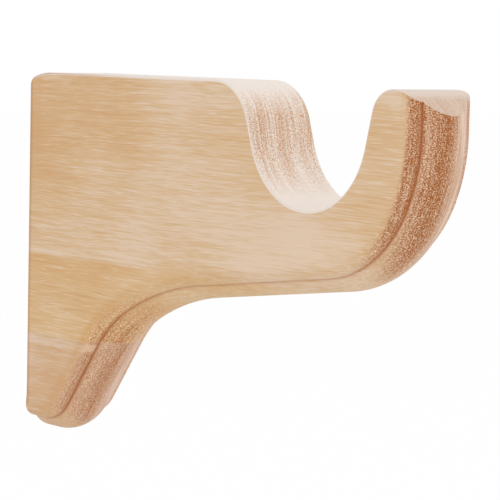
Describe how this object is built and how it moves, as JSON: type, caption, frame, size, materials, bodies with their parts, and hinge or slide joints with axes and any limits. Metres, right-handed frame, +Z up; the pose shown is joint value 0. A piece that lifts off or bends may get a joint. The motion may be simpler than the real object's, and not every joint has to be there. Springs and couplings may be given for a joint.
{
  "type": "curtain pole bracket",
  "caption": "Wooden corbel bracket with an open round cradle for a pole and a moulded edge along its curved underside.",
  "frame": {"origin": "middle of the flat wall face, halfway between the top and the foot and halfway across the thickness", "axes": "+X out from the wall along the arm, +Y across the thickness, along the pole, +Z up"},
  "size_m": [0.1437, 0.019, 0.0922],
  "materials": {
    "bracket": "unfinished, sanded"
  },
  "bodies": {
    "root": {"bracket": "bracket"}
  },
  "joints": []
}
